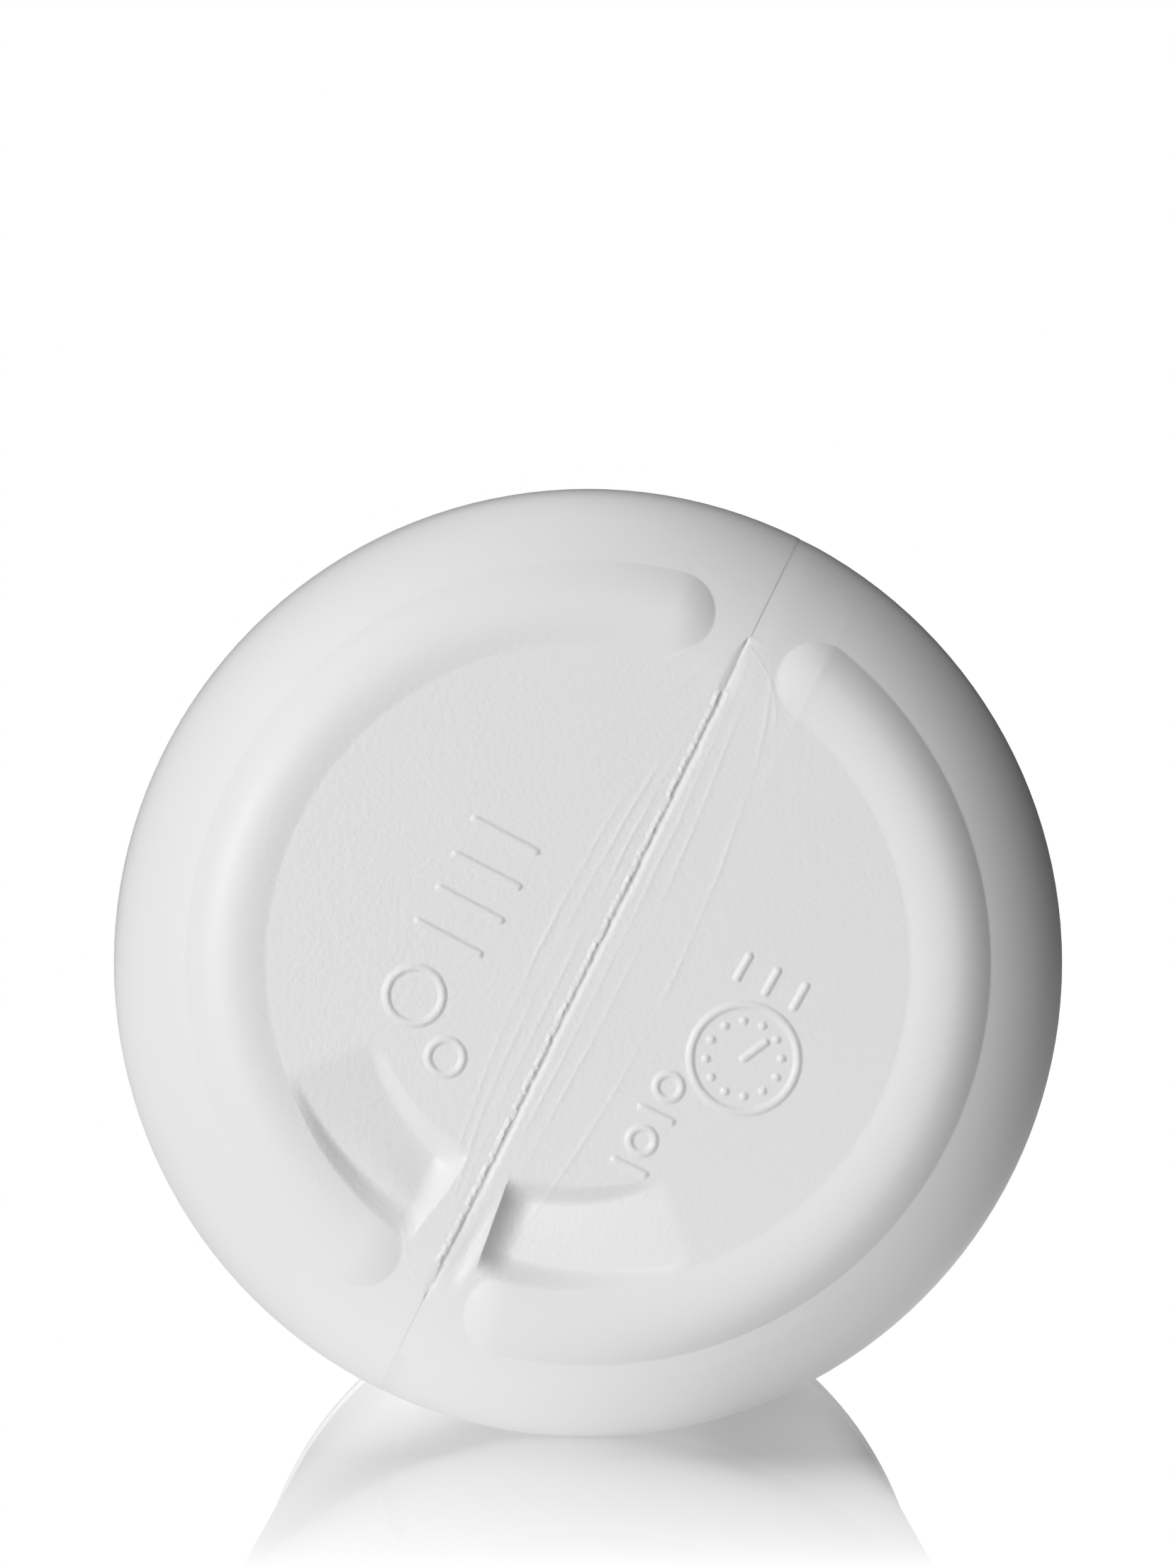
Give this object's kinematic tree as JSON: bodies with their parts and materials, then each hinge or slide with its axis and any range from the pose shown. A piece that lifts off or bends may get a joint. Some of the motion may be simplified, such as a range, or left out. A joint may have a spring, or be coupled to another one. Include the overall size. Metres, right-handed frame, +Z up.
{
  "type": "boston round bottle",
  "caption": "White plastic bottle lying on its side, with curved feet, ramps and a weld line on its base, a round heel, recessed label panel, round shoulder and open threaded neck.",
  "frame": {"origin": "halfway along the bottle, on the surface it lies on, straight under its axis", "axes": "+Y along the bottle's axis from its base to its mouth, +Z up, +X to the right for someone who faces the base"},
  "size_m": [0.073, 0.172, 0.0728],
  "materials": {
    "white_polyethylene": "satin blow-moulded plastic with a fine sandblast grain on the base panel"
  },
  "bodies": {
    "root": {"bottle": "white_polyethylene"}
  },
  "joints": []
}
